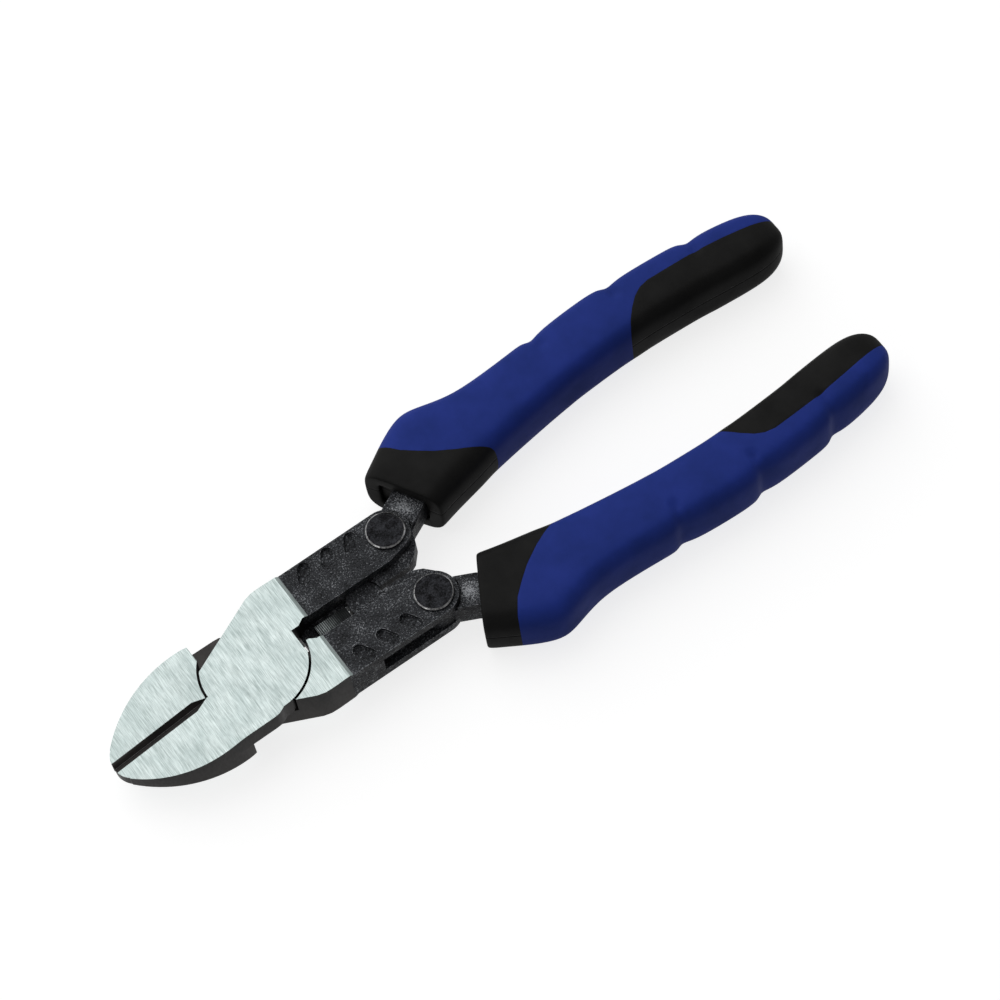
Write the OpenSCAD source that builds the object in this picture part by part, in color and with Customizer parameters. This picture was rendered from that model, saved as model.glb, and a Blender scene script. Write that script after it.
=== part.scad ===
// High-leverage side cutter with two-colour grips, drawn with its jaws closed.
// +X runs from the main pivot to the jaw tips, +Y to the left and +Z up. The
// origin is on the main pivot's axis, at the ground underside of the head.
//
// Both jaw levers are one forging, and one of them is turned over about X.
// Each lever carries a handle on its arm rivet. The handles meet at the link
// pin between the arms, so spreading them opens the jaws.

/* [Head] */
// Thickness of the ground head
head_t = 11.4; // [10:0.1:14]
// Radius of the round lap joint
hub_r = 12.3; // [11:0.1:14]
// Main pivot to the jaw tips
jaw_reach = 38; // [34:0.5:46]
// Half width of the closed jaws
jaw_half_w = 13.4; // [12.5:0.1:15]
// Thickness of the jaws at the tips
tip_t = 3; // [2:0.1:5]
// Width of one top cutting bevel
bevel_w = 1.3; // [0.8:0.1:2]
// Depth of the top cutting bevel
bevel_d = 0.65; // [0.3:0.05:1.2]

/* [Arms] */
// Thickness of the forged arms, less than the head
arm_t = 10.2; // [9:0.1:13]
// Main pivot to the arm rivets, along X
rivet_x = 42.2; // [38:0.1:50]
// Arm rivets from the centre line
rivet_y = 9.65; // [9:0.05:12]
// Half the gap between the arms
arm_gap_half = 3; // [2.5:0.1:4]
// Height of the slot that takes a handle
slot_h = 5; // [4:0.1:6]
// Thumb-side grooves on each face of an arm
groove_count = 3; // [1:1:4]

/* [Pins] */
// Radius of the main pivot pin
pivot_r = 4; // [3:0.1:5]
// Radius of the arm rivets' shanks
rivet_r = 3; // [2:0.1:3.6]
// Radius of the arm rivets' flat heads
rivet_head_r = 4.65; // [4:0.05:5]
// Height of the arm rivets' heads
rivet_head_h = 1.1; // [0.6:0.1:1.6]
// Radius of the link pin
link_r = 2.2; // [1.6:0.1:2.6]
// Main pivot to the link pin with the jaws closed
link_x = 29.5; // [27.5:0.1:30.5]

/* [Handles] */
// Side play of a handle in its slot, each side
slot_play = 0.2; // [0.1:0.05:0.4]
// Thickness of a handle bar's shank
shank_t = 7.4; // [6:0.1:9]
// Width of a handle bar's shank
shank_w = 8; // [7:0.1:9]
// Width of the tang inside a grip
tang_w = 6.5; // [5:0.1:7.5]
// Thickness of the tang inside a grip
tang_t = 5; // [4:0.1:6]

/* [Grips] */
// Length of a grip along X
grip_len = 110; // [95:1:130]
// Height of a grip
grip_h = 17; // [15:0.5:20]
// Width scale of a grip, 1 is as drawn
grip_w_scale = 1; // [0.95:0.01:1.15]
// Wall of the soft cover over the hard core
cover_wall = 2.2; // [1.5:0.1:2.6]

/* [Hidden] */

$fn = 72;
eps = 0.01;
big = 60;
mid_z = head_t / 2;
run_fit = 0.05;         // radial play of a pin that turns
seat_fit = 0.02;        // radial play of a pin that is fixed
lap_play = 0.1;         // gap between the two halves of a lap
edge_play = 0.05;       // each cutting edge from the centre line
hub_play = 0.6;         // gap round the hub in the other lever
link_play = 0.25;       // radial play of the link pin's open bore

// Jaws
jaw_arc_x = 15;
jaw_arc_run = jaw_reach + 1.8 - jaw_arc_x;
jaw_arc_r = (jaw_arc_run * jaw_arc_run + jaw_half_w * jaw_half_w) / (2 * jaw_half_w);
nose_r = 5;
nose_y = 0.4;
jaw_back_x = 9.6;
taper_x = 11;
neck_y = jaw_half_w - 0.1;
edge_z = head_t - bevel_d;
hollow_angle = 16;
bevel_x = 12.6;         // where the top bevels start, at no depth
bevel_run = 3.4;        // from there to their full depth
vee_tall = 16;          // height of the cutting V, in bevel depths
taper_slope = atan2(mid_z - tip_t / 2, jaw_reach - taper_x);

// Arms
flank_from = [-6.7, -14.4];     // the straight flank between arm and hub
flank_angle = 25.4;
shoulder_x = 15.7;
shoulder_slope = 0.8;
arm_y = rivet_y + 5.55;
ear_r = 5.6;
ear_taper = 15;
gap_front_x = 11.4;
gap_front_half = 2;
slot_front_x = 24.4;
ledge_front_x = 16.5;
ledge_back_x = 24.9;
ledge_reach = 1.2;
low_ledge_front_x = 12.2;
low_ledge_gap = 0.3;
ledge_clear = [-13.3, 1.65];    // where the low ledge turns along the other arm
ledge_slant = 1.81;
ledge_t = 2.1;
groove_w = 3;
groove_d = 1.1;
groove_pitch = 6.3;
groove_x = 20.9;
groove_inset = 4.2;
groove_edge = 0.35;
groove_slant = 30;

// Pins
pivot_depth = head_t * 0.76;
pivot_head_r = pivot_r + 1.4;
pivot_head_h = 1.4;
head_chamfer = 0.35;
link_cover = 1;         // left tongue's metal over the link pin, with play

// Handle bars. Distances along a bar count back from the arm rivet.
tongue_t = slot_h - 2 * slot_play;
tongue_z = mid_z - tongue_t / 2;
lobe_r = 4.1;
boss_r = 5.2;
stop_gap = 0.6;
step_r = 6.1;
shank_out = [8.4, 4.2];
tang_path = [[8.4, 4.2], [15, 8.9], [23, 11.6], [37, 11.6], [58, 13.7], [80, 14], [104, 11.6]];
tang_scale = grip_len / 111;

// Grip sections: back from the rivet, out from the rivet, width, turn, and
// height as a share of grip_h. The last ones round off the end.
grip_front = 8.4;
grip_sections = [
    [0, 5.9, 19.5, 30, 0.95],
    [3.4, 7.5, 20.9, 26, 0.97],
    [7.4, 9.3, 22.3, 22, 1],
    [11.6, 10.9, 23.6, 19, 1],
    [15.3, 11.8, 23.8, 18, 1],
    [19.1, 11.7, 21.4, 17, 1],
    [23.2, 11.3, 19.1, 15, 1],
    [28.2, 11.3, 17.2, 11, 1],
    [38.6, 12.3, 16.2, 5, 1],
    [49.2, 13.4, 15.8, 2, 1],
    [61.4, 14, 15.8, 0, 1],
    [72, 13.8, 15.4, -4, 1],
    [84, 13, 15.1, -4, 1],
    [95.6, 11.7, 14.8, -3, 1],
    [102, 10.9, 14.2, -3, 0.97],
    [106.6, 10.5, 12.2, -2, 0.88],
    [109.5, 10.4, 8.8, 0, 0.7],
    [111, 10.4, 4.2, 0, 0.42],
];
corner_r = 4.5;
corner_steps = 4;
core_last = 15;         // last section that the core reaches
core_recess = 0.3;      // of the first step, from the collar's front to the core
pad_front = 70;
pad_edge = 14.8;
collar_end = 33.2;

// ---- Helpers ----

// Turns a lever over about X, which swaps left and right
module turned_over() {
    translate([0, 0, head_t]) rotate([180, 0, 0]) children();
}

module mirrored_side() {
    mirror([0, 1, 0]) children();
}

// A flat plate between two heights
module plate(z0, z1) {
    translate([0, 0, z0]) linear_extrude(z1 - z0) children();
}

module disc_at(p, r) {
    translate(p) circle(r);
}

// Points along an arc, from one angle to another
function arc(c, r, from, to, steps) =
    [for (i = [0 : steps]) let (a = from + (to - from) * i / steps) c + r * [cos(a), sin(a)]];

function unit(v) = v / norm(v);
function left_of(v) = [-v[1], v[0]];

// Sideways direction at a corner of a path, lengthened to keep the width
function mitre(path, i) =
    let (a = unit(path[max(i, 1)] - path[max(i, 1) - 1]),
         b = unit(path[min(i + 1, len(path) - 1)] - path[min(i, len(path) - 2)]),
         n = unit(left_of(a) + left_of(b)))
    n / (n * left_of(a));

// A strip of constant width along a path
module strip(path, w) {
    polygon(concat(
        [for (i = [0 : len(path) - 1]) path[i] + w / 2 * mitre(path, i)],
        [for (i = [len(path) - 1 : -1 : 0]) path[i] - w / 2 * mitre(path, i)]
    ));
}

// ---- Jaw levers, drawn as the left one: jaw at +Y, arm at -Y, hub on top ----

rivet_at = [-rivet_x, -rivet_y];

// Side view of a whole lever: the ground head, the tapered jaw and the lower arm
module lever_side() {
    low = (head_t - arm_t) / 2;
    rotate([90, 0, 0]) translate([0, 0, -big / 2]) linear_extrude(big) polygon([
        [-rivet_x - 20, low],
        [-shoulder_x - shoulder_slope, low],
        [-shoulder_x, 0],
        [taper_x, 0],
        [jaw_reach, mid_z - tip_t / 2],
        [jaw_reach, mid_z + tip_t / 2],
        [taper_x, head_t],
        [-shoulder_x, head_t],
        [-shoulder_x - shoulder_slope, head_t - low],
        [-rivet_x - 20, head_t - low],
    ]);
}

module jaw_outline() {
    intersection() {
        disc_at([jaw_arc_x, jaw_half_w - jaw_arc_r], jaw_arc_r);
        translate([jaw_back_x, edge_play]) square([jaw_reach - jaw_back_x, big]);
        union() {
            disc_at([jaw_reach - nose_r, nose_y], nose_r);
            translate([0, -big / 2]) square([jaw_reach - nose_r + 3.4, big]);
        }
    }
}

module neck_outline() {
    polygon([
        [0, edge_play],
        [0, hub_r - 0.02],
        [0.9, neck_y - 0.55],
        [1.9, neck_y - 0.12],
        [3.4, neck_y],
        [jaw_back_x, neck_y + 0.06],
        [jaw_arc_x, jaw_half_w],
        [jaw_arc_x, edge_play],
    ]);
}

function flank_at(x) = [x, flank_from[1] + (x - flank_from[0]) * tan(flank_angle)];

// The hub's disc, cut straight by the flank
module hub_outline() {
    difference() {
        circle(hub_r);
        translate(flank_from) rotate(flank_angle) translate([-big, -big]) square([2 * big, big]);
    }
}

module arm_outline() {
    taper_at = rivet_at + ear_r * [-sin(ear_taper), cos(ear_taper)];
    taper_start = taper_at + (-arm_gap_half - taper_at[1]) / sin(ear_taper) * [cos(ear_taper), sin(ear_taper)];
    polygon(concat(
        [
            flank_at(0.5),
            flank_at(-5.6),
            [-7.3, -arm_y + 0.5],
            [-9.2, -arm_y],
            [-11, -arm_y - 0.1],
            [-shoulder_x, -arm_y],
        ],
        arc(rivet_at, ear_r, 270, 90 + ear_taper, 20),
        [
            taper_start,
            [-shoulder_x + 0.7, -arm_gap_half],
            [-gap_front_x - 1, -gap_front_half + 0.6],
            [0, 0],
        ]
    ));
}

// One groove on an arm's face, with round ends, just inside the arm's edge
module groove(x) {
    run = (groove_inset - groove_w / 2 - groove_edge) / cos(groove_slant);
    translate([-x, -arm_y + groove_inset]) rotate(-90 - groove_slant)
        polygon(concat(
            arc([0, 0], groove_w / 2, 90, 270, 16),
            arc([run, 0], groove_w / 2, -90, 90, 16)
        ));
}

module arm_grooves() {
    low = (head_t - arm_t) / 2;
    for (i = [0 : groove_count - 1]) {
        plate(head_t - low - groove_d, head_t + 1) groove(groove_x + i * groove_pitch);
        plate(-1, low + groove_d) groove(groove_x + i * groove_pitch);
    }
}

// A V cut along the closed edges. Its bottom starts this far under the jaws.
module vee(drop, slope, back) {
    translate([bevel_x, 0, head_t - (bevel_x - taper_x) * tan(taper_slope) - drop])
        rotate([0, slope, 0]) rotate([90, 0, 90]) translate([0, 0, -back]) linear_extrude(big)
            polygon([[0, 0], [bevel_w * vee_tall, bevel_d * vee_tall], [-bevel_w * vee_tall, bevel_d * vee_tall]]);
}

// The bevels that form the edge. They start at nothing beside the hub and soon
// reach their full size. Under them the jaws' inner faces are hollowed out.
module cutting_bevels() {
    depth = 2 * head_t;
    intersection() {
        vee(bevel_d, taper_slope, 2);
        vee(0, taper_slope + atan2(bevel_d, bevel_run), 0);
    }
    translate([hub_r + hub_play, 0, head_t - (hub_r + hub_play - taper_x) * tan(taper_slope) - bevel_d])
        rotate([0, taper_slope, 0]) rotate([90, 0, 90]) linear_extrude(big)
            polygon([[-1, -depth], [-1, 0], [0, 0], [depth * tan(hollow_angle), -depth]]);
}

// Half-thick ledge that laps the other lever's ledge, clear of its arm
module ledge_outline(front, reach) {
    intersection() {
        translate([-ledge_back_x, -arm_gap_half - 1]) square([ledge_back_x - front, arm_gap_half + 1 + reach]);
        polygon([[-big, -big], [-big, big], ledge_clear + (big - ledge_clear[1]) * [-ledge_slant, 1],
                 ledge_clear, [0, ledge_clear[1]], [0, -big]]);
    }
}

module jaw_lever(ledge_front, ledge_reach) {
    lap_z = mid_z + lap_play / 2;
    difference() {
        union() {
            difference() {
                intersection() {
                    lever_side();
                    union() {
                        plate(-1, head_t + 1) jaw_outline();
                        plate(-1, head_t + 1) arm_outline();
                        plate(lap_z, head_t + 1) neck_outline();
                        plate(lap_z, head_t + 1) hub_outline();
                    }
                }
                // The gap between the arms ends flat behind the hub
                translate([-gap_front_x - 5, -gap_front_half, -1]) cube([5, 3 * gap_front_half, head_t + 2]);
                // Slot for the handle's tongue
                translate([-rivet_x - 20, -arm_y - 5, mid_z - slot_h / 2])
                    cube([rivet_x + 20 - slot_front_x, arm_y + 10, slot_h]);
            }
            plate(mid_z - ledge_t, mid_z - lap_play / 2) ledge_outline(ledge_front, ledge_reach);
        }
        // Room for the other lever's hub and neck, in the lower half
        plate(-2, lap_z) circle(hub_r + hub_play);
        arm_grooves();
        translate([rivet_at[0], rivet_at[1], -1]) cylinder(h = head_t + 2, r = rivet_r + seat_fit);
        // Blind seat of the main pivot pin
        translate([0, 0, -1]) cylinder(h = pivot_depth + 1.1, r = pivot_r + seat_fit);
    }
}

module left_jaw_lever() {
    color("silver") difference() {
        jaw_lever(low_ledge_front_x, arm_gap_half - low_ledge_gap);
        cutting_bevels();
    }
}

// The same forging turned over, bored through for the turning pin
module right_jaw_lever() {
    color("silver") difference() {
        turned_over() jaw_lever(ledge_front_x, ledge_reach);
        mirrored_side() cutting_bevels();
        translate([0, 0, -1]) cylinder(h = head_t, r = pivot_r + run_fit);
        translate([0, 0, -eps]) cylinder(h = pivot_head_h + run_fit, r1 = pivot_head_r + run_fit, r2 = pivot_r + run_fit);
    }
}

// ---- Pins ----

// Blind pin: its countersunk head is ground flush with the underside
module main_pivot_pin() {
    color("silver") {
        cylinder(h = pivot_depth, r = pivot_r);
        cylinder(h = pivot_head_h, r1 = pivot_head_r, r2 = pivot_r);
    }
}

// Through rivet with a chamfered flat head on each face of the arm
module arm_rivet() {
    low = (head_t - arm_t) / 2;
    top = rivet_head_h - head_chamfer;
    rotate_extrude() polygon([
        [0, low - rivet_head_h],
        [rivet_head_r - head_chamfer, low - rivet_head_h],
        [rivet_head_r, low - top],
        [rivet_head_r, low],
        [rivet_r, low],
        [rivet_r, head_t - low],
        [rivet_head_r, head_t - low],
        [rivet_head_r, head_t - low + top],
        [rivet_head_r - head_chamfer, head_t - low + rivet_head_h],
        [0, head_t - low + rivet_head_h],
    ]);
}

module right_arm_rivet() {
    color("dimgray") translate([-rivet_x, -rivet_y, 0]) arm_rivet();
}

module left_arm_rivet() {
    color("dimgray") translate([-rivet_x, rivet_y, 0]) arm_rivet();
}

// Blind pin: pressed into the right tongue, with its end hidden in the left one
module link_pin() {
    color("dimgray") translate([-link_x, 0, tongue_z]) cylinder(h = tongue_t - link_cover, r = link_r);
}

// ---- Handles, drawn as the left one, at +Y ----

function from_rivet(p) = [-rivet_x - p[0], rivet_y + p[1]];
function scaled_path(path) = [for (p = path) from_rivet([p[0] * tang_scale, p[1]])];

// Tongue: lobe on the link pin, boss on the rivet and the web that stops the
// handles against each other
module tongue_outline() {
    link_at = [-link_x, 0];
    pivot_at = from_rivet([0, 0]);
    shank_at = from_rivet(shank_out);
    shank_side = left_of(unit(pivot_at - shank_at));
    bar_angle = atan2(rivet_y, link_x - rivet_x) - 90;
    shank_angle = atan2(shank_side[1], shank_side[0]) + acos(shank_w / 2 / boss_r);
    half_w = shank_w / 2 - 0.2;
    polygon(concat(
        [shank_at + half_w * shank_side],
        arc(pivot_at, boss_r, shank_angle, bar_angle, 8),
        arc(link_at, lobe_r, bar_angle, -172, 24),
        [
            [-link_x - lobe_r, stop_gap],
            [-rivet_x + 0.4, stop_gap],
            from_rivet([2.1, -7.8]),
            from_rivet([4.4, -5.2]),
            from_rivet([5.4, -2.4]),
            shank_at - half_w * shank_side,
        ]
    ));
}

// Room for the other tongue's lobe in the half that it takes
module lap_cut(z0, z1) {
    plate(z0, z1) disc_at([-link_x, 0], lobe_r + 0.4);
}

module shank_outline() {
    difference() {
        strip([from_rivet([0, 0]), from_rivet(shank_out), scaled_path(tang_path)[1]], shank_w);
        disc_at(from_rivet([0, 0]), step_r);
    }
}

module bar_blank() {
    plate(tongue_z, tongue_z + tongue_t) tongue_outline();
    plate(mid_z - shank_t / 2, mid_z + shank_t / 2) shank_outline();
    plate(mid_z - tang_t / 2, mid_z + tang_t / 2) strip(scaled_path(tang_path), tang_w);
}

// The left tongue keeps its upper half at the link pin, in a blind bore with play
module left_handle_bar() {
    color("dimgray") difference() {
        bar_blank();
        lap_cut(tongue_z - 1, mid_z + lap_play / 2);
        plate(0, tongue_z + tongue_t - link_cover + lap_play) disc_at([-link_x, 0], link_r + link_play);
        translate([-rivet_x, rivet_y, 0]) cylinder(h = head_t, r = rivet_r + run_fit);
    }
}

// The right tongue keeps its lower half and holds the pin
module right_handle_bar() {
    color("dimgray") difference() {
        mirrored_side() bar_blank();
        lap_cut(mid_z - lap_play / 2, tongue_z + tongue_t + 1);
        translate([-link_x, 0, 0]) cylinder(h = head_t, r = link_r + seat_fit);
        translate([-rivet_x, -rivet_y, 0]) cylinder(h = head_t, r = rivet_r + run_fit);
    }
}

// ---- Grips, drawn as the left one ----

// One ring of a grip: a rounded rectangle, turned about Z
function ring(s, inset) =
    let (w = s[2] * grip_w_scale / 2 - inset,
         h = s[4] * grip_h / 2 - inset,
         r = min(corner_r, w * 0.9, h * 0.9),
         at = from_rivet([grip_front + s[0] * tang_scale, s[1]]))
    [for (q = [0 : 3], i = [0 : corner_steps])
        let (a = 90 * q + 90 * i / corner_steps,
             cx = (q == 0 || q == 3) ? w - r : r - w,
             cz = (q < 2) ? h - r : r - h,
             u = cx + r * cos(a),
             v = cz + r * sin(a))
        [at[0] + u * sin(s[3]), at[1] + u * cos(s[3]), mid_z + v]];

// A closed skin through the rings up to the last one given. Its front end is
// moved back along the walls by a share of the first step, or forward if below 0.
module grip_skin(inset, last, front_shift) {
    n = 4 * (corner_steps + 1);
    rings = [for (k = [0 : last]) ring(grip_sections[k], inset)];
    front = rings[0] + front_shift * (rings[1] - rings[0]);
    points = [for (k = [0 : last]) each k == 0 ? front : rings[k]];
    walls = [for (k = [0 : last - 1], i = [0 : n - 1])
        let (a = k * n + i, b = k * n + (i + 1) % n)
        each [[a, b, b + n], [a, b + n, a + n]]];
    ends = [[for (i = [0 : n - 1]) n - 1 - i], [for (i = [0 : n - 1]) last * n + i]];
    polyhedron(points, concat(walls, ends));
}

// Plan of the black front collar, with a slanting rear edge
module collar_plan() {
    polygon([
        from_rivet([-5, 40]),
        from_rivet([6.4, 30]),
        from_rivet([9.3, 20.5]),
        from_rivet([13.7, 13.6]),
        from_rivet([collar_end - 13.2, 8.4]),
        from_rivet([collar_end - 4.4, 3.6]),
        from_rivet([collar_end, 0.8]),
        from_rivet([collar_end + 2.8, -3]),
        from_rivet([collar_end + 2.8, -20]),
        from_rivet([-5, -20]),
    ]);
}

// Plan of the black rear pad, on the inner side of the grip
module pad_plan() {
    front = grip_front + pad_front * tang_scale;
    back = grip_front + (grip_len + 6);
    polygon([
        from_rivet([front - 7.4, -5]),
        from_rivet([front - 5, 5.5]),
        from_rivet([front - 0.6, 11]),
        from_rivet([front + 4, pad_edge - 0.5]),
        from_rivet([front + 6.6, pad_edge]),
        from_rivet([back - 30, pad_edge - 0.6]),
        from_rivet([back - 12, pad_edge - 2.6]),
        from_rivet([back, pad_edge - 4.6]),
        from_rivet([back, -5]),
    ]);
}

module wall_of_grip() {
    difference() {
        grip_skin(0, len(grip_sections) - 1, 0);
        grip_skin(cover_wall, core_last, -0.5);
    }
}

module core_solid() {
    difference() {
        grip_skin(cover_wall, core_last, core_recess);
        plate(mid_z - tang_t / 2 - run_fit, mid_z + tang_t / 2 + run_fit)
            strip(scaled_path(tang_path), tang_w + 2 * run_fit);
        plate(mid_z - shank_t / 2 - run_fit, mid_z + shank_t / 2 + run_fit)
            strip([from_rivet([0, 0]), from_rivet(shank_out), scaled_path(tang_path)[1]], shank_w + 2 * run_fit);
    }
}

module collar_solid() {
    intersection() {
        wall_of_grip();
        plate(-10, 30) collar_plan();
    }
}

module pad_solid() {
    intersection() {
        wall_of_grip();
        plate(-10, 30) pad_plan();
    }
}

module cover_solid() {
    difference() {
        wall_of_grip();
        plate(-10, 30) collar_plan();
        plate(-10, 30) pad_plan();
    }
}

module left_grip_core() { color("gray") core_solid(); }
module right_grip_core() { color("gray") mirrored_side() core_solid(); }
module left_front_collar() { color("black") collar_solid(); }
module right_front_collar() { color("black") mirrored_side() collar_solid(); }
module left_grip_cover() { color("mediumblue") cover_solid(); }
module right_grip_cover() { color("mediumblue") mirrored_side() cover_solid(); }
module left_rear_pad() { color("black") pad_solid(); }
module right_rear_pad() { color("black") mirrored_side() pad_solid(); }

left_jaw_lever();
right_jaw_lever();
main_pivot_pin();
left_arm_rivet();
right_arm_rivet();
link_pin();
left_handle_bar();
right_handle_bar();
left_grip_core();
right_grip_core();
left_front_collar();
right_front_collar();
left_grip_cover();
right_grip_cover();
left_rear_pad();
right_rear_pad();
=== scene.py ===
# %% [markdown]
# # A high-leverage side cutter
# The tool is two forged jaw levers on one pivot pin. Each lever carries a handle on
# a riveted arm, and the handles meet at a link pin between the arms. Every metal
# part is already exact in the imported model, so this lesson gives the forgings their
# soft edges and finishes, and models the two-colour grips. All lengths are
# in metres, +X runs to the jaw tips and +Y is the left side.

# %% Load the imported model
import bpy
from math import sin, cos, radians, pi
from mathutils import Vector, Matrix


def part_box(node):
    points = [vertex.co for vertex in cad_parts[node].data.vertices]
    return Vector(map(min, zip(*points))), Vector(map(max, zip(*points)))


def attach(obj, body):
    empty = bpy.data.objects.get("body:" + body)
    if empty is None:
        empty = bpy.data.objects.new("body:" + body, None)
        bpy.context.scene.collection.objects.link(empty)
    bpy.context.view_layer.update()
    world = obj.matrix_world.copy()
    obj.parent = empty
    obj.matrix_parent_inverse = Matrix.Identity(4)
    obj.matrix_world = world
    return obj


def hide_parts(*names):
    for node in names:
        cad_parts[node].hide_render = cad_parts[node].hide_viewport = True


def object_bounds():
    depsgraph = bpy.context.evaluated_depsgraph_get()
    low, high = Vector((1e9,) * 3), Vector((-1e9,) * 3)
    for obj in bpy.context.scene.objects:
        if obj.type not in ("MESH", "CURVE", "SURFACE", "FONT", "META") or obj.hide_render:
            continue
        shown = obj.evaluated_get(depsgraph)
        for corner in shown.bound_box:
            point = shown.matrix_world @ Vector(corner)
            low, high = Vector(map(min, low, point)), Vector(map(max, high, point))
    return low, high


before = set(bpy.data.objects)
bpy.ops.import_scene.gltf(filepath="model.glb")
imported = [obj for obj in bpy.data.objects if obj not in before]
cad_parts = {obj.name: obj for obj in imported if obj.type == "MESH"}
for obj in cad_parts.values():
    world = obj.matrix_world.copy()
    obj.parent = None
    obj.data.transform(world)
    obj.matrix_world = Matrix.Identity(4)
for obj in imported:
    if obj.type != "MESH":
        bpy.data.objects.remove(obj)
low_corner, high_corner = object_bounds()
mm = 0.001

# %% [markdown]
# ## Places taken from the imported model
# The finishes change at places such as the shoulder, where the ground head ends; the
# arms are lower than the head, and the grips sit on the bars. The arm rivet, mid
# height, the head's top and the grips' back end are read from the parts, which keeps
# the looks right if a size changes.

# %% Key places
rivet_low, rivet_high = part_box("left_arm_rivet")
rivet_at = (rivet_low + rivet_high) / 2
mid_height = rivet_at.z
head_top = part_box("left_jaw_lever")[1].z
grip_back_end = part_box("left_grip_cover")[0].x
print("head top mm", round(head_top / mm, 2), "rivet mm", [round(c / mm, 2) for c in rivet_at])

# %% [markdown]
# ## Small helpers
# An operator acts on everything selected, so each step starts from an empty
# selection. Faces and edges are then picked by their place or direction.

# %% Selecting
def clear_selection():
    if bpy.context.object and bpy.context.object.mode != "OBJECT":
        bpy.ops.object.mode_set(mode="OBJECT")
    bpy.ops.object.select_all(action="DESELECT")


def make_active(piece):
    clear_selection()
    piece.select_set(True)
    bpy.context.view_layer.objects.active = piece


def edit(piece, select="DESELECT"):
    make_active(piece)
    bpy.ops.object.mode_set(mode="EDIT")
    bpy.ops.mesh.select_mode(type="VERT")
    bpy.ops.mesh.select_all(action=select)


def pick_faces(piece, wanted):
    """Selects the faces whose middle and normal are wanted, and stays in edit mode."""
    edit(piece)
    bpy.ops.mesh.select_mode(type="FACE")
    bpy.ops.object.mode_set(mode="OBJECT")
    for face in piece.data.polygons:
        face.select = wanted(face.center, face.normal)
    count = sum(face.select for face in piece.data.polygons)
    bpy.ops.object.mode_set(mode="EDIT")
    return count


steep, level = 0.25, 0.97


def is_slope(normal):
    """True for the rounded or bevelled edge of a level face."""
    return steep < abs(normal.z) < level


# %% Finishing a mesh
crease = radians(40)


def finish_modifiers(piece):
    make_active(piece)
    for modifier in list(piece.modifiers):
        bpy.ops.object.modifier_apply(modifier=modifier.name)


def smooth(piece):
    make_active(piece)
    bpy.ops.object.shade_smooth_by_angle(angle=crease)


def point_normals_out():
    bpy.ops.mesh.select_all(action="SELECT")
    bpy.ops.mesh.normals_make_consistent(inside=False)
    bpy.ops.object.mode_set(mode="OBJECT")


# %% [markdown]
# ## Helpers for finishes
# Every finish is a small tree of nodes. The helpers below add one node each and hand
# back its result, so that a finish reads as a few lines of what it is made from:
# noise of a given grain size in metres, ranges, sums, blends of colour and relief.

# %% Nodes of a finish
def new_finish(name, colour, roughness, metallic=0.0):
    finish = bpy.data.materials.new(name)
    finish.use_nodes = True
    shader = finish.node_tree.nodes["Principled BSDF"]
    shader.inputs["Base Color"].default_value = (*colour, 1)
    shader.inputs["Roughness"].default_value = roughness
    shader.inputs["Metallic"].default_value = metallic
    return finish, shader


def node(finish, kind, **settings):
    made = finish.node_tree.nodes.new("ShaderNode" + kind)
    for key, value in settings.items():
        setattr(made, key, value)
    return made


def join(finish, out_socket, in_socket):
    finish.node_tree.links.new(out_socket, in_socket)


# %% Where on the piece
def place_on_piece(finish, stretch=(1, 1, 1)):
    """Object coordinates; a small number makes the grain long along that axis."""
    place = node(finish, "TexCoord")
    mapping = node(finish, "Mapping")
    mapping.inputs["Scale"].default_value = stretch
    join(finish, place.outputs["Object"], mapping.inputs["Vector"])
    return mapping.outputs["Vector"]


def along(finish, axis):
    """How far along X, Y or Z, in metres."""
    apart = node(finish, "SeparateXYZ")
    join(finish, place_on_piece(finish), apart.inputs[0])
    return apart.outputs[axis]


# %% Noise, ranges, sums and blends
def noise(finish, where, size, detail=3, rough=0.6):
    """Noise whose features are about this long, in metres."""
    made = node(finish, "TexNoise")
    made.inputs["Scale"].default_value = 1 / size
    made.inputs["Detail"].default_value = detail
    made.inputs["Roughness"].default_value = rough
    join(finish, where, made.inputs["Vector"])
    return made.outputs["Fac"]


def spread(finish, value, low, high, to_low=0.0, to_high=1.0):
    """Stretches a value from one range to another, and stops at its ends."""
    made = node(finish, "MapRange")
    ends = {"From Min": low, "From Max": high, "To Min": to_low, "To Max": to_high}
    for key, number in ends.items():
        made.inputs[key].default_value = number
    join(finish, value, made.inputs["Value"])
    return made.outputs["Result"]


def sums(finish, operation, a, b=None):
    made = node(finish, "Math", operation=operation)
    for socket, value in zip(made.inputs, (a, b)):
        if value is None:
            continue
        if isinstance(value, (int, float)):
            socket.default_value = value
        else:
            join(finish, value, socket)
    return made.outputs["Value"]


def mixed(finish, first, share, second):
    """This share of the first value, and the rest of the second."""
    return sums(finish, "ADD", sums(finish, "MULTIPLY", first, share),
                sums(finish, "MULTIPLY", second, 1 - share))


def blend_colours(finish, amount, first, second, blend_type="MIX"):
    made = node(finish, "Mix", data_type="RGBA", blend_type=blend_type)
    if isinstance(amount, float):
        made.inputs[0].default_value = amount
    else:
        join(finish, amount, made.inputs[0])
    for index, value in ((6, first), (7, second)):
        if isinstance(value, tuple):
            made.inputs[index].default_value = (*value, 1)
        else:
            join(finish, value, made.inputs[index])
    return made.outputs[2]


def relief(finish, height, depth, strength=1.0, under=None):
    """Bumps of this depth, in metres, on top of another relief."""
    made = node(finish, "Bump")
    made.inputs["Distance"].default_value = depth
    made.inputs["Strength"].default_value = strength
    join(finish, height, made.inputs["Height"])
    if under is not None:
        join(finish, under, made.inputs["Normal"])
    return made.outputs["Normal"]


# %% [markdown]
# ## Ground steel
# The head's faces are surface-ground: bright steel with fine straight scratches
# across the tool. Noise stretched along Y gives scratches of many lengths, and it
# drives the colour, the roughness and a very shallow relief together, so the
# scratches catch the light as real ones do. Soft clouds vary the colour a little.

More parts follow.
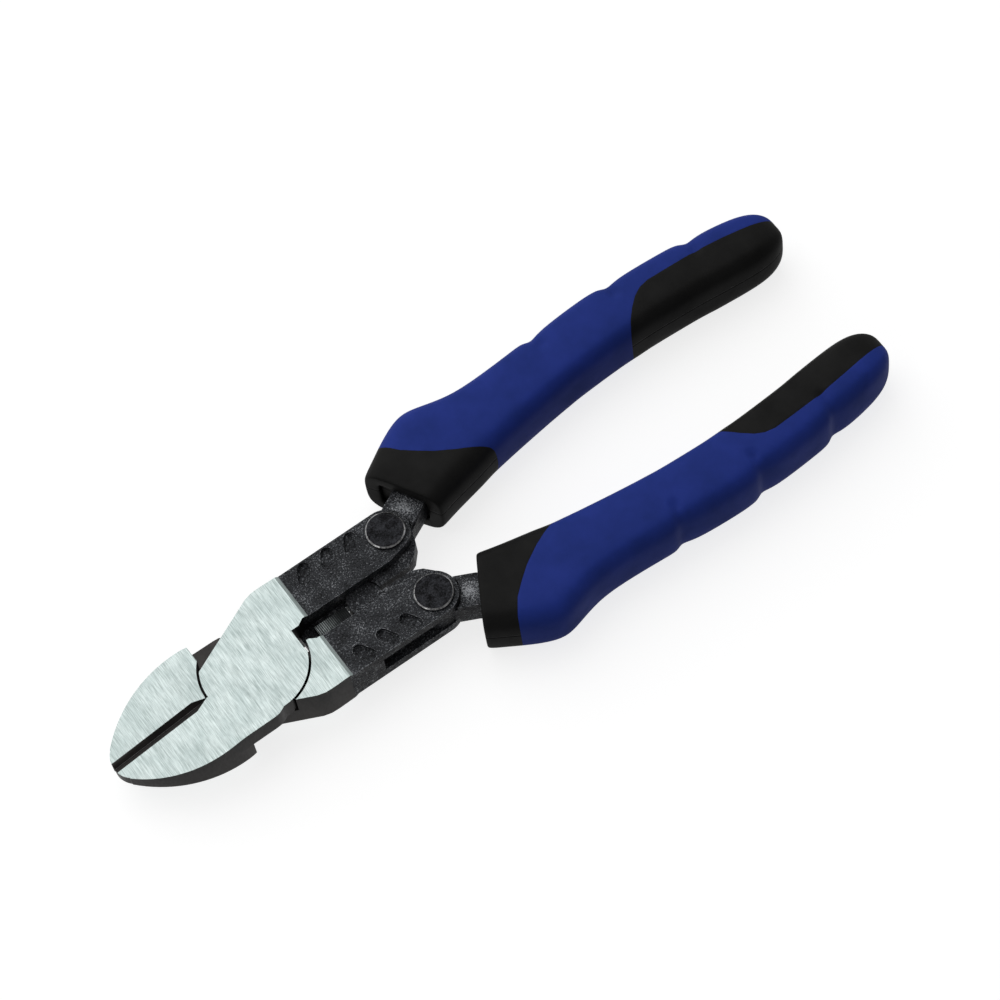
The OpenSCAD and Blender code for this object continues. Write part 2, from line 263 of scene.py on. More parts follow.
# %% Ground steel finish
def ground_steel():
    finish, shader = new_finish("ground steel", (0.5, 0.53, 0.52), 0.38, 1.0)
    long_grain = place_on_piece(finish, (1, 0.035, 1))
    fine = noise(finish, long_grain, 0.00013, 2, 0.7)
    broad = noise(finish, long_grain, 0.0005, 3, 0.6)
    cloud = noise(finish, place_on_piece(finish), 0.005, 3)
    marks = mixed(finish, fine, 0.75, broad)
    bright = blend_colours(finish, spread(finish, marks, 0.35, 0.6),
                           (0.38, 0.44, 0.43), (0.66, 0.73, 0.72))
    cloudy = blend_colours(finish, spread(finish, cloud, 0.38, 0.65),
                           (0.68, 0.74, 0.73), (0.96, 0.98, 0.97))
    both = blend_colours(finish, 0.5, bright, cloudy, "MULTIPLY")
    join(finish, both, shader.inputs["Base Color"])
    join(finish, spread(finish, marks, 0.3, 0.7, 0.5, 0.36), shader.inputs["Roughness"])
    join(finish, relief(finish, marks, 0.00002, 0.35), shader.inputs["Normal"])
    return finish


# %% [markdown]
# ## Blackened forging
# The arms and bars are left as forged and blackened: nearly black scale with a
# grainy skin. Two sizes of noise make the skin's relief. The highest grains are
# rubbed to grey metal, which sparkles where it faces the light, and they crowd
# together where a hand or a neighbour wears the part.

# %% Blackened forging finish
rub_core, rub_reach = 0.5 * mm, 3.4 * mm


def forged_black(name="blackened forging", rubbed_at=(), lightest=0.36, worn=0.0, metallic=0.8):
    """Rubbed grains crowd round the places in rubbed_at, as far as rub_reach."""
    finish, shader = new_finish(name, (0.02, 0.021, 0.023), 0.42)
    shader.inputs["Specular IOR Level"].default_value = 0.15
    where = place_on_piece(finish)
    grain = noise(finish, where, 0.00045, 3, 0.65)
    lumps = noise(finish, where, 0.0016, 2, 0.5)
    specks = noise(finish, where, 0.00024, 2, 0.5)
    patches = noise(finish, where, 0.004, 3, 0.6)
    rub = sums(finish, "ADD", mixed(finish, grain, 0.5, specks),
               spread(finish, patches, 0.3, 0.7, -0.05, 0.05))
    for spot in rubbed_at:
        away = node(finish, "VectorMath", operation="DISTANCE")
        join(finish, where, away.inputs[0])
        away.inputs[1].default_value = spot
        nearness = spread(finish, away.outputs["Value"], rub_core, rub_reach, 0.12, 0.0)
        rub = sums(finish, "ADD", rub, nearness)
    scale = blend_colours(finish, spread(finish, rub, 0.38 - worn, 0.60 - worn),
                          (0.0022, 0.0024, 0.0029), (0.066, 0.070, 0.078))
    peaks = spread(finish, rub, 0.56 - worn, 0.66 - worn)
    bare = (lightest, lightest * 1.03, lightest * 1.08)
    join(finish, blend_colours(finish, peaks, scale, bare), shader.inputs["Base Color"])
    join(finish, spread(finish, lumps, 0.3, 0.7, 0.52, 0.33), shader.inputs["Roughness"])
    join(finish, spread(finish, rub, 0.50 - worn, 0.62 - worn, 0.0, metallic),
         shader.inputs["Metallic"])
    skin = mixed(finish, grain, 0.6, lumps)
    join(finish, relief(finish, skin, 0.0005), shader.inputs["Normal"])
    return finish


# %% [markdown]
# ## Darkened steel, worn steel and rivet heads
# The jaws' sides are darkened but smooth, and a painted reflection makes them lighter
# toward the bottom. Rivet rims are rubbed bright in patches, and the rivets' flat tops
# are mottled black.

# %% Darkened, worn and rivet steel
def dark_steel():
    finish, shader = new_finish("darkened steel", (0.05, 0.048, 0.047), 0.35, 0.6)
    grain = noise(finish, place_on_piece(finish, (1, 1, 0.3)), 0.0005, 3)
    cloud = noise(finish, place_on_piece(finish), 0.005, 2)
    # painted reflection: the sides are painted lighter toward the bottom, standing in for the
    # floor mirrored in them
    painted_floor_reflection = spread(finish, along(finish, "Z"), head_top - 1 * mm, 0, -0.25, 0.35)
    tone = sums(finish, "ADD", spread(finish, cloud, 0.3, 0.7, 0.2, 0.6), painted_floor_reflection)
    join(finish, blend_colours(finish, tone, (0.008, 0.0073, 0.0070), (0.055, 0.049, 0.046)),
         shader.inputs["Base Color"])
    join(finish, spread(finish, grain, 0.3, 0.7, 0.42, 0.3), shader.inputs["Roughness"])
    join(finish, relief(finish, grain, 0.00004, 0.4), shader.inputs["Normal"])
    return finish


def worn_steel():
    finish, shader = new_finish("worn steel", (0.5, 0.5, 0.5), 0.3, 1.0)
    wear = noise(finish, place_on_piece(finish), 0.0009, 4, 0.7)
    join(finish, blend_colours(finish, spread(finish, wear, 0.38, 0.56),
                               (0.10, 0.10, 0.105), (0.62, 0.62, 0.62)),
         shader.inputs["Base Color"])
    join(finish, spread(finish, wear, 0.3, 0.7, 0.45, 0.25), shader.inputs["Roughness"])
    return finish


def rivet_black():
    finish, shader = new_finish("blackened rivet", (0.03, 0.03, 0.034), 0.4)
    shader.inputs["Specular IOR Level"].default_value = 0.06
    where = place_on_piece(finish)
    mottle = noise(finish, where, 0.0014, 5, 0.65)
    tone = mixed(finish, mottle, 0.6, noise(finish, where, 0.00035, 2))
    join(finish, blend_colours(finish, spread(finish, tone, 0.42, 0.62),
                               (0.004, 0.004, 0.0048), (0.046, 0.048, 0.056)),
         shader.inputs["Base Color"])
    join(finish, spread(finish, mottle, 0.35, 0.65, 0.5, 0.3), shader.inputs["Roughness"])
    join(finish, relief(finish, tone, 0.00012, 0.8), shader.inputs["Normal"])
    return finish


# %% [markdown]
# ## The machined ledge
# The little ledge between the arms is milled, which leaves even fine ribs across it.
# A sine wave along X makes the ribs. They fade toward the back, where the ledge runs
# in between the arms and stays black.

# %% Milled ledge finish
rib_pitch = 0.47 * mm
black_from, bare_from = -22.5 * mm, -18.5 * mm


def milled_ledge():
    finish, shader = new_finish("milled ledge", (0.4, 0.42, 0.42), 0.35, 1.0)
    along_x = along(finish, "X")
    ribs = sums(finish, "SINE", sums(finish, "MULTIPLY", along_x, 2 * pi / rib_pitch))
    wear = noise(finish, place_on_piece(finish), 0.0012, 3)
    shade = sums(finish, "MULTIPLY", spread(finish, ribs, -1, 1, 0.15, 1),
                 spread(finish, wear, 0.35, 0.6, 0.4, 1))
    shade = sums(finish, "MULTIPLY", shade,
                 spread(finish, along_x, black_from, bare_from, 0.04, 1))
    join(finish, blend_colours(finish, shade, (0.016, 0.017, 0.018), (0.42, 0.46, 0.46)),
         shader.inputs["Base Color"])
    join(finish, relief(finish, ribs, 0.00008, 0.8), shader.inputs["Normal"])
    return finish


# %% Make the metal finishes
steel = ground_steel()
forging = forged_black()
# the shank wears just behind each rivet, on top of the bar
shank_spots = [(rivet_at.x - 7.0 * mm, way * (rivet_at.y + 3.4 * mm), mid_height + 3.7 * mm)
               for way in (1, -1)]
bar_forging = forged_black("rubbed bar forging", shank_spots)
rubbed = forged_black("rubbed forging edge", lightest=0.6, worn=0.10, metallic=1.0)
# the darkened steel also paints the groove between the blades dark, as painted shade
dark_side_and_vee_shade = dark_steel()
worn = worn_steel()
rivet_top = rivet_black()
ledge = milled_ledge()
metals = (steel, forging, bar_forging, rubbed, dark_side_and_vee_shade, worn, rivet_top, ledge)
print("metal finishes:", [finish.name for finish in metals])

# %% [markdown]
# ## Soft grip plastics
# The cover is a matt, slightly rubbery blue, and the collar and pad are a matt
# black. Both are moulded, so the skin has a very fine even grain and soft clouds of
# gloss. The black pieces show the mould's parting line along their sides, a little
# above mid height: a shallow groove in the relief, darkened with painted shade.

# %% Grip finishes
parting_height = mid_height + 1.2 * mm


def moulded(name, dark, light, roughness, parting=False):
    finish, shader = new_finish(name, light, roughness)
    shader.inputs["Specular IOR Level"].default_value = 0.07
    where = place_on_piece(finish)
    cloud = noise(finish, where, 0.009, 4, 0.6)
    skin = noise(finish, where, 0.00035, 2)
    colour = blend_colours(finish, spread(finish, cloud, 0.3, 0.7), dark, light)
    under = relief(finish, skin, 0.00003, 0.5)
    if parting:
        off = sums(finish, "ABSOLUTE",
                   sums(finish, "SUBTRACT", along(finish, "Z"), parting_height))
        groove = spread(finish, off, 0.00008, 0.00030)
        under = relief(finish, groove, 0.0003, 1.0, under)
        # painted shade: the middle of the parting groove is painted nearly black
        colour = blend_colours(finish, groove, (0.0015, 0.0015, 0.0015), colour)
    join(finish, colour, shader.inputs["Base Color"])
    join(finish, spread(finish, cloud, 0.3, 0.7, roughness + 0.05, roughness - 0.05),
         shader.inputs["Roughness"])
    join(finish, under, shader.inputs["Normal"])
    return finish


blue = moulded("blue soft grip", (0.0155, 0.035, 0.215), (0.021, 0.044, 0.29), 0.55)
black = moulded("black soft grip", (0.0088, 0.0088, 0.0086), (0.0145, 0.0144, 0.0141), 0.5,
                parting=True)
print("grip finishes:", blue.name, "and", black.name)

# %% [markdown]
# ## Forgings with soft edges
# A forging or a ground face never ends in a perfect corner. The levers and bars are
# right in shape already, so each is copied, its loose triangles are merged and its
# flat faces made whole, and then the sharp edges are rounded with a weighted bevel:
# wide on the as-forged arms, narrow on the ground head.

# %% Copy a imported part
def copy_part(name, new_name):
    clear_selection()
    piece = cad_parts[name].copy()
    piece.data = piece.data.copy()
    piece.data.materials.clear()
    piece.name = new_name
    bpy.context.collection.objects.link(piece)
    piece.parent = None
    piece.matrix_world = Matrix.Identity(4)
    edit(piece, "SELECT")
    bpy.ops.mesh.remove_doubles(threshold=2e-6)
    bpy.ops.mesh.dissolve_limited(angle_limit=radians(0.6))
    bpy.ops.object.mode_set(mode="OBJECT")
    return piece


# %% Round its edges
sharp_edge = radians(28)


def round_edges(piece, width, amount_at=lambda middle: 1.0):
    """Bevels sharp edges, each by the share of width that amount_at gives."""
    mesh = piece.data
    faces_of = {}
    for face in mesh.polygons:
        for key in face.edge_keys:
            faces_of.setdefault(key, []).append(face)
    weights = mesh.attributes.new("bevel_weight_edge", "FLOAT", "EDGE")
    count = 0
    for edge in mesh.edges:
        faces = faces_of.get(edge.key, [])
        if len(faces) == 2 and faces[0].normal.angle(faces[1].normal, 0) > sharp_edge:
            first, second = (mesh.vertices[end].co for end in edge.vertices)
            weights.data[edge.index].value = amount_at((first + second) / 2)
            count += 1
    bevel = piece.modifiers.new("soft edges", "BEVEL")
    bevel.limit_method = "WEIGHT"
    bevel.width = width
    bevel.segments = 2
    bevel.use_clamp_overlap = True
    finish_modifiers(piece)
    smooth(piece)
    flat = piece.modifiers.new("flat faces stay flat", "WEIGHTED_NORMAL")
    flat.weight = 60
    flat.keep_sharp = True
    finish_modifiers(piece)
    print(piece.name, "edges rounded:", count, "faces now:", len(piece.data.polygons))


# %% [markdown]
# ## The two jaw levers
# Faces are sorted by direction and place: whatever faces up or down on the head is
# ground, the step at the shoulder too, the arms are forging scale with rubbed edges,
# and the jaws' sides are darkened. The groove between the blades gets the same dark
# finish as painted shade.

# %% Sort a lever's faces
ground_from = -16.6 * mm
# the two levers lap on faces this near mid height, which stay dark
lap_half = 0.7 * mm
# the groove between the blades, painted dark as painted shade, and the milled ledge between the
# arms
vee_from, vee_half_width = 9 * mm, 1.4 * mm
ledge_from, ledge_half_width = -24.2 * mm, 3.3 * mm
ledge_lowest, ledge_highest = 1.8 * mm, 2.4 * mm
lever_finishes = (steel, forging, dark_side_and_vee_shade, ledge, rubbed)


def lever_finish(spot, normal):
    upward = abs(normal.z)
    off_middle = abs(spot.z - mid_height)
    across = abs(spot.y)
    if spot.x > ground_from:
        # the groove's faces get the darkened steel: painted shade in the groove
        in_vee_painted_shade = across < vee_half_width and spot.x > vee_from and abs(normal.y) > 0.3
        ground = upward > steep and off_middle > lap_half and not in_vee_painted_shade
        return steel if ground else dark_side_and_vee_shade
    near_ledge = spot.x > ledge_from and across < ledge_half_width
    if near_ledge and upward > 0.9 and ledge_lowest < off_middle < ledge_highest:
        return ledge
    return rubbed if is_slope(normal) else forging


def sort_lever_faces(piece):
    mesh = piece.data
    for finish in lever_finishes:
        mesh.materials.append(finish)
    counts = dict.fromkeys((finish.name for finish in lever_finishes), 0)
    for face in mesh.polygons:
        finish = lever_finish(face.center, face.normal)
        face.material_index = lever_finishes.index(finish)
        counts[finish.name] += 1
    print(piece.name, "faces:", counts)


# %% Jaw levers
lever_radius, ground_share = 0.45 * mm, 0.3


def lever_edge(middle):
    return 1.0 if middle.x < ground_from else ground_share


for side in ("left", "right"):
    lever = copy_part(side + "_jaw_lever", side + "_lever")
    round_edges(lever, lever_radius, lever_edge)
    sort_lever_faces(lever)
    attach(lever, side + "_jaw")
    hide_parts(side + "_jaw_lever")

# %% [markdown]
# ## Handle bars
# The bars are forged like the arms. The tongue inside the slot stays dark, and the
# shank is rubbed where it leaves the collar.

# %% Handle bars
bar_radius = 0.5 * mm

for side in ("left", "right"):
    bar = copy_part(side + "_handle_bar", side + "_bar")
    round_edges(bar, bar_radius)
    bar.data.materials.append(bar_forging)
    bar.data.materials.append(rubbed)
    for face in bar.data.polygons:
        face.material_index = 1 if is_slope(face.normal) else 0
    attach(bar, side + "_handle")
    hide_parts(side + "_handle_bar")

# %% [markdown]
# ## Rivets and pins
# The arm rivets have flat heads with a rubbed rim. The levers cross at the pivot, so
# the left rivet sits in the right jaw's arm and rides with it, and the other way
# round. The main pin and the link pin are hidden or flush, so they only need their
# finish.

# %% Rivets
rim_radius = 0.12 * mm
# beyond this from mid height a slope is a head's rim
heads_from = 5 * mm

for side, jaw in (("left", "right_jaw"), ("right", "left_jaw")):
    rivet = copy_part(side + "_arm_rivet", side + "_rivet")
    round_edges(rivet, rim_radius)
    rivet.data.materials.append(rivet_top)
    rivet.data.materials.append(worn)
    for face in rivet.data.polygons:
        rim = is_slope(face.normal) and abs(face.center.z - mid_height) > heads_from
        face.material_index = 1 if rim else 0
    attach(rivet, jaw)
    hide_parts(side + "_arm_rivet")


# %% Pins
def dress(name, finish):
    """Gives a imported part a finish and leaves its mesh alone."""
    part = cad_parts[name]
    for place in range(max(1, len(part.data.materials))):
        if place < len(part.material_slots):
            part.material_slots[place].material = finish
        else:
            part.data.materials.append(finish)
    print(name, "is dressed in", finish.name)


dress("main_pivot_pin", steel)
dress("link_pin", forging)

# %% [markdown]
# ## The grips
# A grip is a hard core with a soft cover, a black collar at its front and a black
# pad at its back. It could be carved from a block, but its section changes slowly
# along the handle, so it is lofted: a rounded section is extruded from station to
# station, and at each one it is turned, widened or narrowed. A thumb notch is five
# stations close together, the middle ones narrower. Subdivision smooths it.

# %% Stations along a grip
# back from the rivet, out from the rivet, width, turn in degrees, height; all in mm
plain_stations = [
    (8.4, 5.9, 19.5, 30, 16.15),
    (9.2, 6.3, 20.2, 29, 16.5),
    (11.8, 7.5, 20.9, 26, 16.6),
    (15.8, 9.3, 22.3, 22, 17),
    (20.0, 10.9, 23.6, 19, 17),
    (23.7, 11.8, 23.8, 18, 17),
    (27.5, 11.7, 21.4, 17, 17),
    (31.6, 11.3, 19.1, 15, 17),
    (36.6, 11.3, 17.2, 11, 17),
    (47.0, 12.3, 16.2, 5, 17),
    (57.6, 13.4, 15.8, 2, 17),
    (69.8, 14.0, 15.8, 0, 17),
    (80.4, 13.8, 15.4, -4, 17),
    (92.4, 13.0, 15.1, -4, 17),
    (104.0, 11.7, 14.8, -3, 17),
    (110.4, 10.9, 14.2, -3, 16.5),
    (115.0, 10.5, 12.2, -2, 15),
    (117.9, 10.4, 8.8, 0, 11.9),
    (119.4, 10.4, 4.2, 0, 7.1),
]
front_back, front_out, front_width, front_turn, front_height = plain_stations[0]
table_length = plain_stations[-1][0] - front_back
stretch = (rivet_at.x - grip_back_end - front_back * mm) / (table_length * mm)
print("grip length over the table's:", round(stretch, 4))

# %% Thumb notches
thumb_notches = (53.8, 75.5, 97.1)
# steps back from a notch's front edge, and how far the outer side is drawn in
notch_steps = ((-2.4, 0), (-0.8, 0.2), (0.6, 1.05), (2.0, 0.95), (5.0, 0.15))
# plain stations this close before or after a notch give way to the notch's own
clear_before, clear_after = 4, 7


def station_between(table, back):
    """The station at this distance, between its two neighbours in the table."""
    for before, after in zip(table, table[1:]):
        if before[0] <= back <= after[0]:
            share = (back - before[0]) / (after[0] - before[0])
            return tuple(a + (b - a) * share for a, b in zip(before, after))


def near_notch(back):
    return any(n - clear_before < back < n + clear_after for n in thumb_notches)


stations = [station for station in plain_stations if not near_notch(station[0])]
for notch in thumb_notches:
    for step, depth in notch_steps:
        back, out, width, turn, height = station_between(plain_stations, notch + step)
        stations.append((back, out - depth / 2, width - depth, turn, height))
stations.sort()
print("stations:", len(stations))


# %% Loft one grip
def from_rivet(back, out):
    """A place in plan, from the arm rivet; the grip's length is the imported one."""
    return (rivet_at.x - (front_back + (back - front_back) * stretch) * mm,
            rivet_at.y + out * mm)


def turn_about(centre, degrees):
    """Turns what is selected about Z, counter-clockwise from above."""
    bpy.ops.transform.rotate(value=-radians(degrees), orient_axis="Z", center_override=centre)


def grip_blank(corner=4.6 * mm):
    clear_selection()
    centre = Vector((*from_rivet(front_back, front_out), mid_height))
    bpy.ops.mesh.primitive_plane_add(
        size=1, location=centre, rotation=(radians(90), 0, radians(90 - front_turn)))
    grip = bpy.context.object
    grip.scale = (front_width * mm, front_height * mm, 1)
    bpy.ops.object.transform_apply(location=True, rotation=True, scale=True)
    edit(grip, "SELECT")
    bpy.ops.mesh.bevel(offset=corner, segments=3, affect="VERTICES")
    for before, now in zip(stations, stations[1:]):
        to = Vector((*from_rivet(now[0], now[1]), mid_height))
        bpy.ops.mesh.extrude_region_move(TRANSFORM_OT_translate={"value": to - centre})
        centre = to
        turn_about(centre, before[3])
        bpy.ops.transform.resize(value=(1, now[2] / before[2], now[4] / before[4]),
                                 center_override=centre)
        turn_about(centre, -now[3])
    point_normals_out()
    return grip


blank = grip_blank()
points = [vertex.co for vertex in blank.data.vertices]
blank_size = [max(p[axis] for p in points) - min(p[axis] for p in points) for axis in range(3)]
print("grip blank mm:", [round(length / mm, 1) for length in blank_size])

# %% [markdown]
# ## The collar's opening
# The bar leaves the collar through a recess in its front face. The face is inset
# three times: to hold the front edge's radius, to leave the collar's wall, and for
# the lip. Then it is pushed in, and a last inset holds the edge at the bottom.

# %% Recess round the shank
forward = Vector((cos(radians(front_turn)), -sin(radians(front_turn)), 0))
front_at = Vector((*from_rivet(front_back, front_out), mid_height))
edge_hold, wall, lip = 0.7 * mm, 2.6 * mm, 0.35 * mm
recess, bottom_hold = 2.6 * mm, 0.4 * mm
found = pick_faces(blank, lambda spot, way: way.dot(forward) > 0.95
                   and (spot - front_at).length < 3 * mm)
bpy.ops.mesh.inset(thickness=edge_hold)
bpy.ops.mesh.inset(thickness=wall)
bpy.ops.mesh.inset(thickness=lip)
bpy.ops.transform.translate(value=-forward * lip)
bpy.ops.mesh.extrude_region_move(TRANSFORM_OT_translate={"value": -forward * recess})
bpy.ops.mesh.inset(thickness=bottom_hold)
bpy.ops.object.mode_set(mode="OBJECT")
print("front faces found:", found)

# %% Smooth the blank
levels = blank.modifiers.new("smooth", "SUBSURF")
levels.levels = 3
levels.render_levels = 3
finish_modifiers(blank)
print("smoothed faces:", len(blank.data.polygons))

# %% [markdown]
# ## Dents at the thumb notches
# Each notch runs a little way onto the grip's top and bottom and ends in a soft
# round dent. Proportional editing presses a few points in, and their neighbours
# follow less and less, as clay does under a thumb.

# %% Press the dents
# back from the notch's front edge, in mm
dent_back = 1.6
# in from the outer side, reach and depth of each press, in mm
dent_presses = ((4.0, 2.1, 0.50), (2.4, 2.0, 0.40))
# the grip's top and bottom are beyond this from mid height
skin_from = 5 * mm


def press(spot, reach, depth):
    """Presses the skin in toward mid height, round a place in plan."""
    for way in (1, -1):
        edit(blank)
        bpy.ops.object.mode_set(mode="OBJECT")
        near = [v for v in blank.data.vertices if (v.co.z - mid_height) * way > skin_from]
        closest = min(near, key=lambda v: (v.co.x - spot[0]) ** 2 + (v.co.y - spot[1]) ** 2)
        closest.select = True
        bpy.ops.object.mode_set(mode="EDIT")
        bpy.ops.transform.translate(value=(0, 0, -way * depth), use_proportional_edit=True,
                                    proportional_edit_falloff="SMOOTH", proportional_size=reach)
        bpy.ops.object.mode_set(mode="OBJECT")


for notch in thumb_notches:
    back, out, width, turn, height = station_between(stations, notch + dent_back)
    for inward, reach, depth in dent_presses:
        press(from_rivet(back, out + width / 2 - inward), reach * mm, depth * mm)
print("dents pressed at:", thumb_notches)

# %% [markdown]
# ## Splitting the grip
# The real grip is moulded in two plastics that meet in clean lines. The smoothed
# blank is cut with two upright blocks: what lies in the first is the collar, in the
# second the pad, and the rest is the cover. A small bevel on each cut edge leaves
# the fine line that shows between the colours.

# %% Cutting lines
# back from the rivet and out from it, in mm
collar_line = [
    (2, 40), (6.4, 30), (9.3, 20.5), (11.2, 17), (13.7, 13.6), (16.8, 10.9), (20, 8.4),
    (24.4, 5.75), (28.8, 3.6), (31, 2.5), (33.2, 0.8), (36, -3), (36, -20), (2, -20),
]
pad_line = [
    (70.5, -12), (71.5, 0), (73.4, 5.5), (75.6, 8.6), (77.8, 11), (80.2, 13.1), (82.4, 14.3),
    (85, 14.8), (90, 14.6), (98, 14.2), (106, 13.2), (114, 12), (127, 10), (127, -12),
]
block_bottom, block_height = -20 * mm, 50 * mm


# %% Cutting blocks
def upright_block(name, outline):
    """A block with this plan, taller than the grip."""
    clear_selection()
    start = from_rivet(*outline[0])
    bpy.ops.mesh.primitive_plane_add(size=1)
    block = bpy.context.object
    block.name = name
    edit(block, "SELECT")
    bpy.ops.mesh.merge(type="CENTER")
    bpy.ops.transform.translate(value=(start[0], start[1], block_bottom))
    for step in outline[1:]:
        place = from_rivet(*step)
        bpy.ops.mesh.extrude_vertices_move(
            TRANSFORM_OT_translate={"value": (place[0] - start[0], place[1] - start[1], 0)})
        start = place
    bpy.ops.mesh.select_all(action="SELECT")
    bpy.ops.mesh.edge_face_add()
    bpy.ops.mesh.extrude_region_move(TRANSFORM_OT_translate={"value": (0, 0, block_height)})
    point_normals_out()
    return block


collar_block = upright_block("collar block", collar_line)
pad_block = upright_block("pad block", pad_line)


# %% Cut the blank into three pieces
seam_width = 0.22 * mm


def cut(piece_name, keep=(), remove=()):
    clear_selection()
    piece = blank.copy()
    piece.data = blank.data.copy()
    piece.name = piece_name
    bpy.context.collection.objects.link(piece)
    for operation, blocks in (("INTERSECT", keep), ("DIFFERENCE", remove)):
        for block in blocks:
            boolean = piece.modifiers.new("cut", "BOOLEAN")
            boolean.operation, boolean.object, boolean.solver = operation, block, "EXACT"
    finish_modifiers(piece)
    seam = piece.modifiers.new("seam", "BEVEL")
    seam.limit_method, seam.angle_limit = "ANGLE", crease
    seam.width, seam.segments = seam_width, 2
    finish_modifiers(piece)
    smooth(piece)
    print(piece_name, "faces:", len(piece.data.polygons))
    return piece


grip_pieces = [
    (cut("left_collar", keep=[collar_block]), "front_collar", black, "grip_black"),
    (cut("left_cover", remove=[collar_block, pad_block]), "grip_cover", blue, "grip_blue"),
    (cut("left_pad", keep=[pad_block]), "rear_pad", black, "grip_black"),
]
for tool in (blank, collar_block, pad_block):
    bpy.data.objects.remove(tool)

# %% [markdown]
# ## The other grip
# The right grip is the left one mirrored. A mirrored mesh is inside out, so its
# normals are turned back afterwards.

# %% Mirror to the right side
def mirrored(piece, name):
    clear_selection()
    other = piece.copy()
    other.data = piece.data.copy()
    other.name = name
    bpy.context.collection.objects.link(other)
    edit(other, "SELECT")
    bpy.ops.transform.resize(value=(1, -1, 1), center_override=(0, 0, 0))
    point_normals_out()
    smooth(other)
    return other


for piece, node_name, finish, slot_name in grip_pieces:
    piece.data.materials.append(finish)
    other = mirrored(piece, piece.name.replace("left", "right"))
    for side, half in (("left", piece), ("right", other)):
        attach(half, side + "_handle")
        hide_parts(side + "_" + node_name)
    print(piece.name, "copied to", other.name)
for side in ("left", "right"):
    dress(side + "_grip_core", black)

# %% [markdown]
# ## Floor
# The floor is plain, pale and a little brighter than its light makes it, so it
# stays nearly white with soft shadows. It shows itself only to the camera: it
# neither lights the tool nor is mirrored in it, which keeps the sides dark.

# %% Floor
floor_glow, gap_below_tool = 0.78, 0.1 * mm
clear_selection()
bpy.ops.mesh.primitive_plane_add(size=6, location=(0, 0, low_corner.z - gap_below_tool))
floor = bpy.context.object
floor.name = "floor"
floor_paint, floor_shader = new_finish("pale floor", (0.4, 0.4, 0.4), 0.8)
floor_shader.inputs["Specular IOR Level"].default_value = 0.1
floor_shader.inputs["Emission Color"].default_value = (1, 1, 1, 1)
floor_shader.inputs["Emission Strength"].default_value = floor_glow
floor.data.materials.append(floor_paint)
floor.visible_diffuse = False
floor.visible_glossy = False
print("floor at mm", round(floor.location.z / mm, 2))

# %% [markdown]
# ## Room light
# The room is a soft grey that changes with height: paler round the horizon, darker
# overhead, so that what faces up is lit by the panels and not by the room. It is
# also dimmer on one side, which lets the slopes that look that way fall darker.

# %% Room settings
# share of the way from straight down to straight up, and brightness there
room_levels = [(0.0, 0.75), (0.40, 0.50), (0.50, 0.70), (0.61, 0.80), (0.75, 0.2), (1.0, 0.4)]
bright_side = (-0.434, -0.90, 0)
dim_strength, full_strength = 0.42, 1.0
print("room levels:", room_levels)

# %% Room by direction
room = bpy.data.worlds.new("room")
bpy.context.scene.world = room
room.use_nodes = True
sky = room.node_tree
background = sky.nodes["Background"]


def sky_range(value, low, high, to_low, to_high):
    made = sky.nodes.new("ShaderNodeMapRange")
    ends = {"From Min": low, "From Max": high, "To Min": to_low, "To Max": to_high}
    for key, number in ends.items():
        made.inputs[key].default_value = number
    sky.links.new(value, made.inputs["Value"])
    return made.outputs["Result"]


direction = sky.nodes.new("ShaderNodeTexCoord").outputs["Generated"]
apart = sky.nodes.new("ShaderNodeSeparateXYZ")
sky.links.new(direction, apart.inputs[0])
bands = sky.nodes.new("ShaderNodeValToRGB")
sky.links.new(sky_range(apart.outputs["Z"], -1, 1, 0, 1), bands.inputs["Fac"])
sky.links.new(bands.outputs["Color"], background.inputs["Color"])
toward = sky.nodes.new("ShaderNodeVectorMath")
toward.operation = "DOT_PRODUCT"
toward.inputs[1].default_value = bright_side
sky.links.new(direction, toward.inputs[0])
sky.links.new(sky_range(toward.outputs["Value"], -0.5, 0.5, dim_strength, full_strength),
              background.inputs["Strength"])
ramp = bands.color_ramp.elements
for number, (place, brightness) in enumerate(room_levels):
    if number in (0, len(room_levels) - 1):
        stop = ramp[0 if number == 0 else -1]
    else:
        stop = ramp.new(place)
    stop.position = place
    stop.color = (brightness, brightness, brightness, 1)
print("room stops:", [round(stop.position, 2) for stop in ramp])

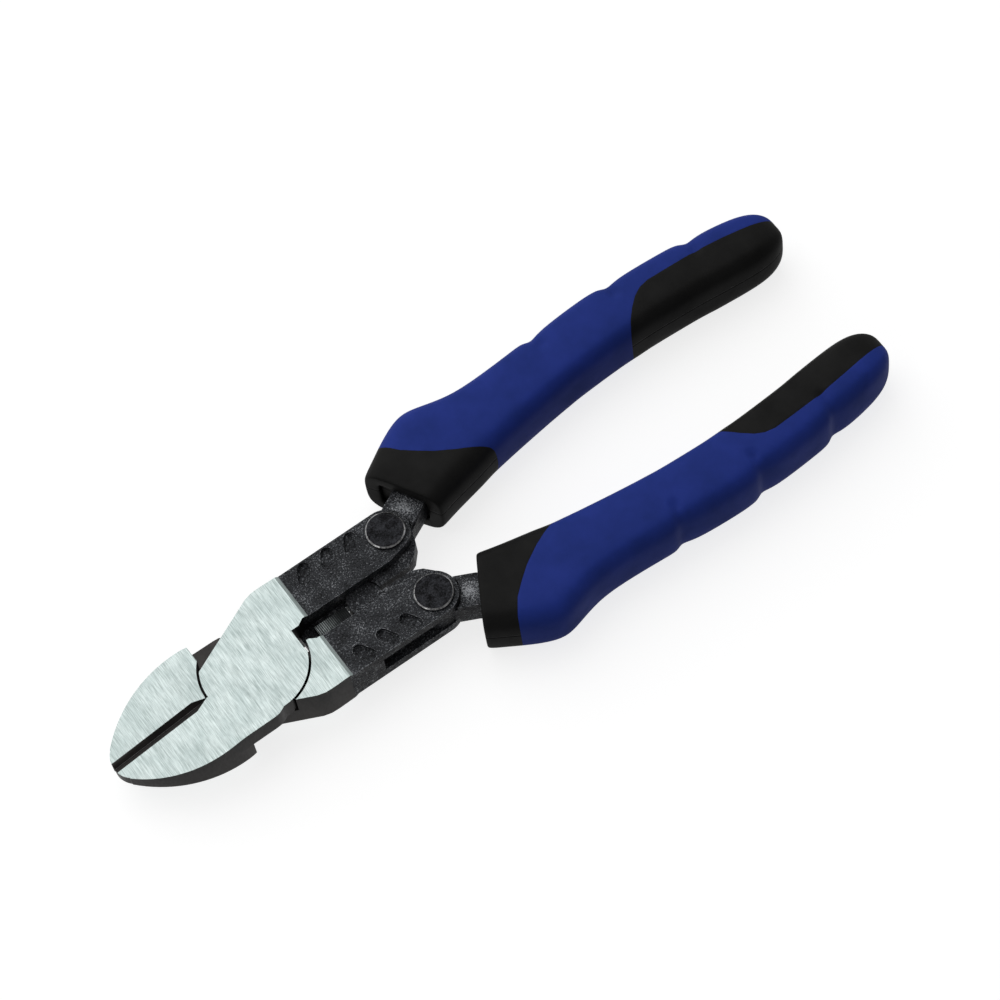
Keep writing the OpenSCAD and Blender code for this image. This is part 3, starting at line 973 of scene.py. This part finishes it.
# %% [markdown]
# ## Panel lights
# The main light is a large soft panel above the tool, on the side away from the
# camera, so level faces are bright and the slopes toward the camera are darker. A
# small panel in front of the jaws gives the front edges a little light.

# %% Panels
def panel(name, place, size, power, toward):
    clear_selection()
    bpy.ops.object.light_add(type="AREA", location=place)
    lamp = bpy.context.object
    lamp.name = name
    lamp.data.shape = "SQUARE"
    lamp.data.size = size
    lamp.data.energy = power
    lamp.rotation_mode = "QUATERNION"
    lamp.rotation_quaternion = (Vector(toward) - Vector(place)).to_track_quat("-Z", "Y")
    print(name, power, "W")


middle = (low_corner + high_corner) / 2
panel("main light", (middle.x + 0.1, -0.75, 1.15), 1.6, 10.5, middle)
panel("front light", (middle.x + 0.95, 0.22, 0.40), 0.35, 0.9, middle)

# %% [markdown]
# ## Camera
# A long lens looks down from the tool's left side, rolled a little, so that the tool
# lies on a slant with its jaws toward the lower left of the view. The camera is
# placed by the point it looks at, two angles, a roll and its distance.

# %% Camera
azimuth, elevation, roll = radians(154.275), radians(62.712), radians(-10.68)
target = Vector((-68.369, -2.461, 6.2)) * mm
distance = 826.6 * mm
look = Vector((-sin(azimuth) * cos(elevation), cos(azimuth) * cos(elevation), -sin(elevation)))
flat_right = Vector((cos(azimuth), sin(azimuth), 0))
flat_up = flat_right.cross(look)
right = cos(roll) * flat_right + sin(roll) * flat_up
up = -sin(roll) * flat_right + cos(roll) * flat_up
place = target - look * distance
camera_data = bpy.data.cameras.new("camera")
camera = bpy.data.objects.new("camera", camera_data)
bpy.context.collection.objects.link(camera)
camera_data.sensor_width = 36
camera_data.lens = 130.957
camera_data.clip_start = 0.01
turned = Matrix((right, up, -look)).transposed().to_4x4()
camera.matrix_world = Matrix.Translation(place) @ turned
bpy.context.scene.camera = camera
bpy.context.scene.view_settings.view_transform = "Standard"
print("camera at", [round(c, 3) for c in place])

# %% [markdown]
# ## Last update
# The scene is brought up to date once more at the end. The finished pieces must
# stay within the imported model's size.

# %% Update the scene
bpy.context.view_layer.update()
